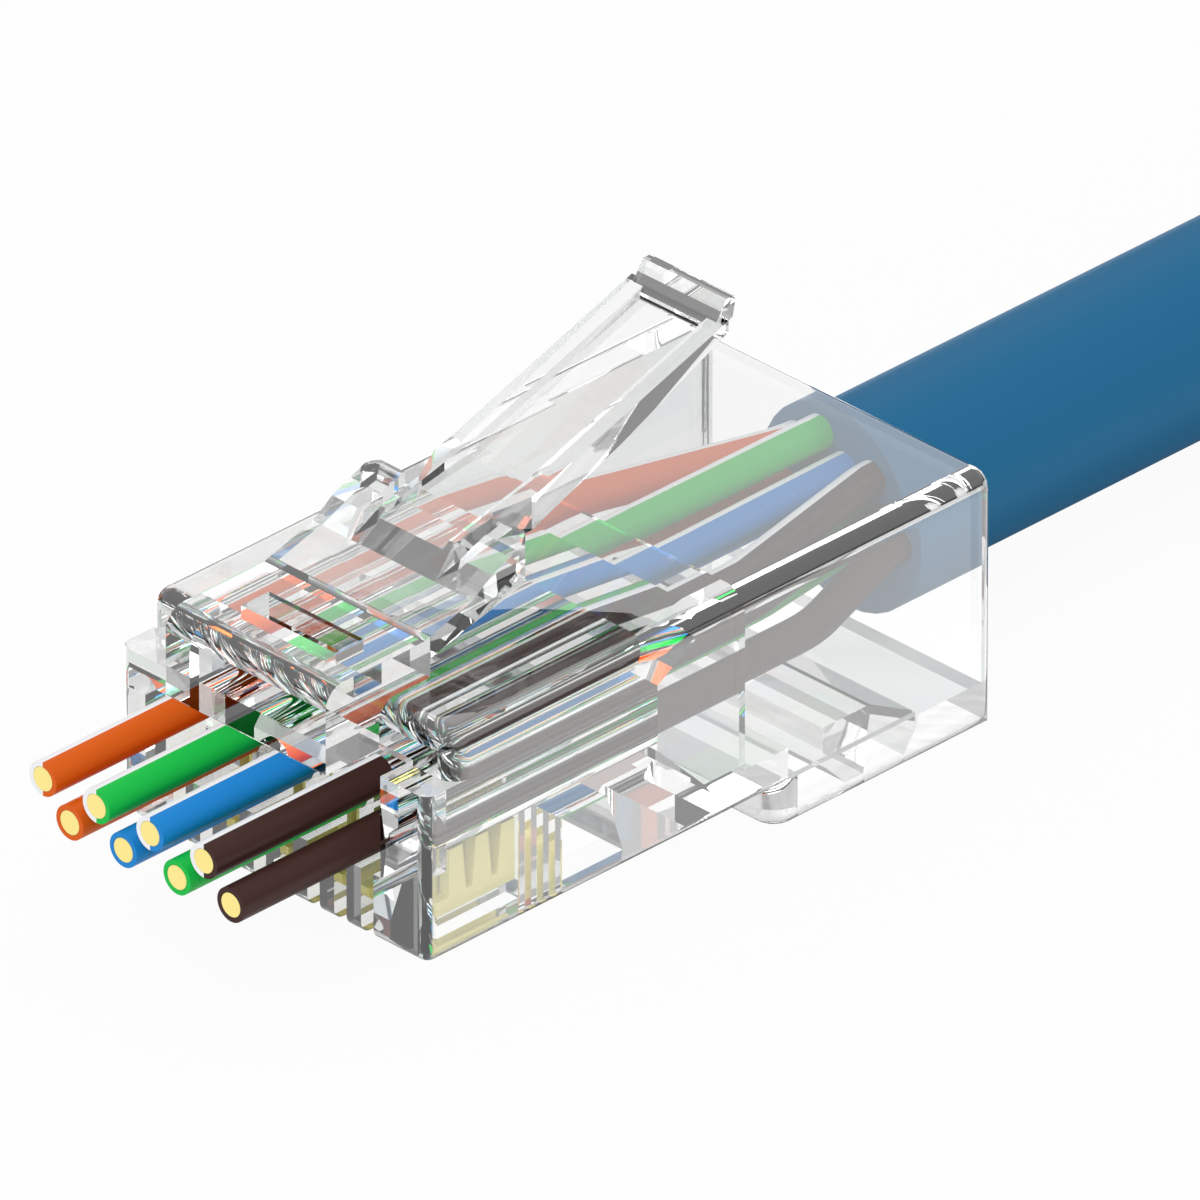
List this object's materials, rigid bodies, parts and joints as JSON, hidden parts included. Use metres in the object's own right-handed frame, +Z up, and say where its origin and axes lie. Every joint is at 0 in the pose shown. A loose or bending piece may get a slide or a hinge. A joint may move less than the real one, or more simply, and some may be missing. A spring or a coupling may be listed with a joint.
{
  "type": "rj45 modular plug",
  "caption": "Clear modular plug with a sprung latch, gold contact blades and coloured conductors passed through its nose, fitted on a short cut length of round blue cable.",
  "frame": {"origin": "middle of the nose's front face at the contact side, where the plug enters a jack", "axes": "+X across the plug from the orange pair to the brown pair, +Y from the nose to the cable, +Z up from the contact side to the latch"},
  "size_m": [0.0116, 0.0604, 0.0139],
  "materials": {
    "clear_body": "clear injection-moulded polycarbonate, polished mould",
    "clear_latch": "clear injection-moulded polycarbonate, polished mould",
    "clear_bar": "clear injection-moulded polycarbonate, polished mould",
    "contact": "gold-plated phosphor bronze, stamped",
    "conductor": "solid copper, cut square",
    "jacket": "blue PVC sheath, extruded, satin",
    "plain_orange": "orange polyethylene insulation, extruded",
    "plain_blue": "blue polyethylene insulation, extruded",
    "plain_green": "green polyethylene insulation, extruded",
    "plain_brown": "brown polyethylene insulation, extruded",
    "striped_orange": "half white, half orange polyethylene insulation, extruded",
    "striped_green": "half white, half green polyethylene insulation, extruded",
    "striped_blue": "half white, half blue polyethylene insulation, extruded",
    "striped_brown": "half white, half brown polyethylene insulation, extruded"
  },
  "bodies": {
    "body": {"housing": "clear_body", "contact_1": "contact", "contact_2": "contact", "contact_3": "contact", "contact_4": "contact", "contact_5": "contact", "contact_6": "contact", "contact_7": "contact", "contact_8": "contact", "insulation_1": "striped_orange", "insulation_2": "plain_orange", "insulation_3": "striped_green", "insulation_4": "plain_blue", "insulation_5": "striped_blue", "insulation_6": "plain_green", "insulation_7": "striped_brown", "insulation_8": "plain_brown", "conductor_1": "conductor", "conductor_2": "conductor", "conductor_3": "conductor", "conductor_4": "conductor", "conductor_5": "conductor", "conductor_6": "conductor", "conductor_7": "conductor", "conductor_8": "conductor", "cable_jacket": "jacket"},
    "latch": {"latch_lever": "clear_latch"},
    "relief": {"strain_relief_bar": "clear_bar"}
  },
  "joints": [
    {"name": "latch_hinge", "type": "hinge", "parent": "body", "child": "latch", "pos_m": [0, 0.00294, 0.00719], "axis": [-1, 0, 0], "range_deg": [0, 18], "stiffness_Nm_per_rad": 0.05},
    {"name": "strain_relief_hinge", "type": "hinge", "parent": "body", "child": "relief", "pos_m": [0, 0.01912, -0.0002], "axis": [-1, 0, 0], "range_deg": [0, 14], "stiffness_Nm_per_rad": 0.02}
  ]
}
